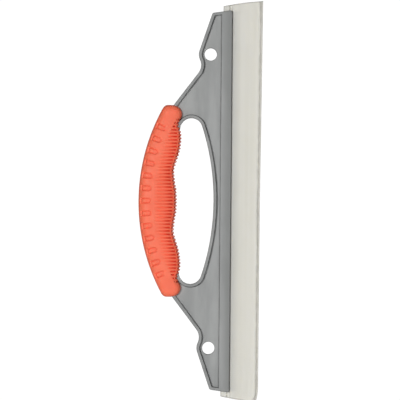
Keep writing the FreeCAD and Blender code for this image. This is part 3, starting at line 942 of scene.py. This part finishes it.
def blade_profile():
    """Forward distance and half thickness, from the head round to the lip's face."""
    return [
        (-HEAD_BACK, 2.1), (-HEAD_BACK + 0.4, 2.5), (-HEAD_BACK + 0.9, 2.5), (-2.3, 2.5),
        (-2.0, 2.2), (-2.0, 1.4), (0.2, 1.4), (0.25, 2.0), (0.45, 2.2), (1.5, 2.06),
        (3.0, 1.85), (5.0, 1.6), (7.0, 1.42),
        (9.5, 1.27), (12.5, 1.14), (16.0, 1.0), (19.5, 0.9), (21.2, 0.92),
        (21.7, 1.15), (21.85, 1.6), (21.8, LIP_HALF - 0.35),
        (22.0, LIP_HALF - 0.05), (22.35, LIP_HALF), (TIP_REACH - 0.35, LIP_HALF),
        (TIP_REACH - 0.08, LIP_HALF - 0.12), (TIP_REACH, LIP_HALF - 0.5),
    ]


def blade_set(forward, up):
    """Where a point of the straight strip goes once the strip has taken its set."""
    free = np.clip(forward / TIP_REACH, 0, 1) ** 1.5
    down = np.clip((150.0 - up) / 150.0, 0, 2)
    drawn_back = 1.25 * np.minimum(down, 1) ** 1.2 + 0.2 * np.clip(down - 1, 0, 1)
    curl = np.clip((-up - 141.0) / 10.0, 0, 1.2) ** 2
    aside = -0.9 * np.clip(down - 1, 0, 1) ** 2 - 1.6 * curl
    return forward - free * (drawn_back + 1.4 * curl), free * aside


print("head", round(HEAD_BACK, 2), "tip", round(TIP_REACH, 2), "lip", round(LIP_HALF, 2))

# %% [markdown]
# Most rows are evenly spaced. A few more sit close to each end, so that the darker,
# rougher band marked at each end stays narrow, and the last row is drawn in a little,
# which breaks the cut edge.

# %% Sweep the profile down the strip
LAST_ROWS = [0.993, 0.998, 1.0]
EVEN_ROWS = 119
END_BREAK = 0.25
LEAST_HALF = 0.2
EDGE_MARK_FROM = 0.995


def blade_mesh():
    """The strip: one closed loop per row, joined by quads, with both ends filled."""
    upper = blade_profile()
    loop = upper + [(x, -half) for x, half in reversed(upper)]
    forward, across = np.array(loop).T
    crown = CROWN * (1 - ((forward - CROWN_PLACE) / CROWN_REACH) ** 2)
    end_height = BLADE_HALF + END_SLANT * forward + crown - END_GAP
    first_rows = [-share for share in reversed(LAST_ROWS)]
    shares = np.concatenate([first_rows, np.linspace(-0.98, 0.98, EVEN_ROWS), LAST_ROWS])
    shrink = np.where(np.abs(shares) == 1.0, END_BREAK, 0.0)
    points = []
    for share, less in zip(shares, shrink):
        up = share * end_height
        thick = np.sign(across) * np.maximum(np.abs(across) - less, LEAST_HALF)
        ahead, aside = blade_set(forward, up)
        points.append(np.stack([ahead, thick + aside, up], 1))
    points = np.concatenate(points) * MM + np.array(spot(0, 0, 0))
    count = len(loop)
    faces = []
    for row in range(len(shares) - 1):
        for place in range(count):
            beside = (place + 1) % count
            low, high = row * count, (row + 1) * count
            faces.append((low + place, high + place, high + beside, low + beside))
    last = (len(shares) - 1) * count
    for place in range(count // 2 - 1):
        mirror, mirror_next = count - 1 - place, count - 2 - place
        faces.append((place, place + 1, mirror_next, mirror))
        faces.append((last + place, last + mirror, last + mirror_next, last + place + 1))
    mesh = bpy.data.meshes.new("silicone_blade")
    mesh.from_pydata(points.tolist(), [], faces)
    # The "edge" attribute says where the finish paints shade on the blade's edges and makes them
    # rougher.
    edge = mesh.attributes.new("edge", "FLOAT", "POINT")
    across_profile = np.interp(
        forward,
        [0.5 - HEAD_BACK, 0.9 - HEAD_BACK, 19.6, 21.2, 21.9, 22.3, TIP_REACH - 0.1, TIP_REACH],
        [1.0, 0.0, 0.0, 0.6, 1.0, 0.5, 0.5, 1.0],
    )
    at_end = np.abs(shares) > EDGE_MARK_FROM
    worn_and_shaded = np.maximum.outer(at_end, across_profile).ravel()
    edge.data.foreach_set("value", worn_and_shaded.astype(np.float32))
    return mesh


blade_piece = bpy.data.objects.new("silicone_blade", blade_mesh())
bpy.context.scene.collection.objects.link(blade_piece)
blade_piece.data.materials.append(BLADE_SILICONE)
work = bmesh.new()
work.from_mesh(blade_piece.data)
bmesh.ops.recalc_face_normals(work, faces=work.faces)
work.to_mesh(blade_piece.data)
work.free()
blade_piece.data.shade_smooth()
blade_piece.data.set_sharp_from_angle(angle=math.radians(38))
print("blade mesh:", len(blade_piece.data.polygons), "faces")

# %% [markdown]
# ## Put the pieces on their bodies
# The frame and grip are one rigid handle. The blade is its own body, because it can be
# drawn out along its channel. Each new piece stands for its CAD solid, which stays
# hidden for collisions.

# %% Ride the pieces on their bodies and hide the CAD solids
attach(frame_shell, "handle")
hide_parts("frame")
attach(grip_piece, "handle")
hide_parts("grip")
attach(blade_piece, "blade")
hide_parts("blade")
print("pieces:", [piece.name for piece in (frame_shell, grip_piece, blade_piece)])

# %% [markdown]
# ## The studio
# A tool like this is shown on plain white, upright, as it hangs. The blade can be drawn
# out downwards by nearly its own length, so the floor is a pale sheet under the lowest
# point that it then reaches. The sky is white to the eye but gives only part of the
# light, so that one soft lamp on the left still draws the shape, with a weaker fill on
# the right, one beside the blade and one behind for the other sides.

# %% Lay the floor
DRAW_OUT = 293 * MM
FLOOR_LEVEL = cad_low.z - DRAW_OUT - 1 * MM


def lay_floor(half_size):
    """A square sheet that looks white to the camera and is pale to the light."""
    mesh = bpy.data.meshes.new("floor")
    turns = [(-1, -1), (1, -1), (1, 1), (-1, 1)]
    corners = [(x * half_size, y * half_size, FLOOR_LEVEL) for x, y in turns]
    mesh.from_pydata(corners, [], [(0, 1, 2, 3)])
    floor = bpy.data.objects.new("floor", mesh)
    bpy.context.scene.collection.objects.link(floor)
    material, wires, shader = new_finish("pale_floor", Roughness=0.8)
    is_seen = wires.add("ShaderNodeLightPath").outputs["Is Camera Ray"]
    wires.put(wires.math("MULTIPLY", is_seen, 0.8), shader.inputs["Emission Strength"])
    shader.inputs["Emission Color"].default_value = (1, 1, 1, 1)
    clouds = drop_in(
        wires, CLOUDY_TINT, Base=(0.92, 0.92, 0.92, 1), Tint=(0.9, 0.9, 0.9, 1),
        Cloud_scale=3.0, Amount=0.3,
    )
    wires.put(clouds["Color"], shader.inputs["Base Color"])
    mesh.materials.append(material)
    return floor


floor = lay_floor(1.4)
print("floor at z", round(FLOOR_LEVEL, 4))

# %% Hang the lamps
def hang_lamp(name, place, aim, size, power):
    """A square soft lamp at a place, turned to face its aim."""
    data = bpy.data.lights.new(name, "AREA")
    data.shape = "SQUARE"
    data.size = size
    data.energy = power
    lamp = bpy.data.objects.new(name, data)
    lamp.location = place
    lamp.rotation_euler = (Vector(aim) - Vector(place)).to_track_quat("-Z", "Y").to_euler()
    bpy.context.scene.collection.objects.link(lamp)
    return lamp


centre = (cad_low + cad_high) / 2
hang_lamp("key", centre + Vector((-1.0, -2.3, 0.25)), centre, 0.28, 37.0)
hang_lamp("front_fill", centre + Vector((0.9, -2.6, -0.1)), centre, 1.2, 16.0)
hang_lamp("back", centre + Vector((0.8, 2.3, 0.6)), centre, 1.4, 42.0)
hang_lamp("side", centre + Vector((2.4, 0.4, 0.3)), centre, 1.2, 7.0)

# %% Light the sky
def light_sky(seen, given_light):
    """A white sky: one strength where the camera sees it and another for lighting."""
    world = bpy.data.worlds.new("white_sky")
    world.use_nodes = True
    bpy.context.scene.world = world
    wires = Wiring(world.node_tree)
    sky = world.node_tree.nodes["Background"]
    is_seen = wires.add("ShaderNodeLightPath").outputs["Is Camera Ray"]
    strength = wires.add("ShaderNodeMapRange", is_seen, 0.0, 1.0, given_light, seen).outputs[0]
    sky.inputs["Color"].default_value = (1, 1, 1, 1)
    wires.put(strength, sky.inputs["Strength"])


light_sky(1.05, 0.105)
bpy.context.scene.view_settings.view_transform = "Standard"
bpy.context.scene.view_settings.look = "None"
print("sky set")

# %% [markdown]
# ## The camera
# A long lens from far off keeps the flat tool's outline true. It faces the front
# squarely, and is rolled by half a degree, because the tool stands very slightly
# out of plumb in the frame.

# %% Set up the camera
def set_camera(aim, distance, width, roll_degrees):
    """A level camera in front of the aim, seeing this width at the tool."""
    data = bpy.data.cameras.new("camera")
    data.sensor_width = 36.0
    data.lens = data.sensor_width * distance / width
    data.clip_start = distance / 20
    data.clip_end = distance * 20
    camera = bpy.data.objects.new("camera", data)
    lean = math.radians(roll_degrees)
    right = Vector((math.cos(lean), 0, math.sin(lean)))
    above = Vector((-math.sin(lean), 0, math.cos(lean)))
    towards = Vector((0, -1, 0))
    turn = Matrix((right, above, towards)).transposed()
    camera.matrix_world = Matrix.Translation(aim + towards * distance) @ turn.to_4x4()
    bpy.context.scene.collection.objects.link(camera)
    bpy.context.scene.camera = camera
    return camera


camera = set_camera(spot(-23.4, 0, 0.86), 3.0, 0.304, 0.49)
print("lens", round(camera.data.lens, 1), "mm")

# %% [markdown]
# ## Finish
# The view layer is updated once more.

# %% Update the view layer
bpy.context.view_layer.update()
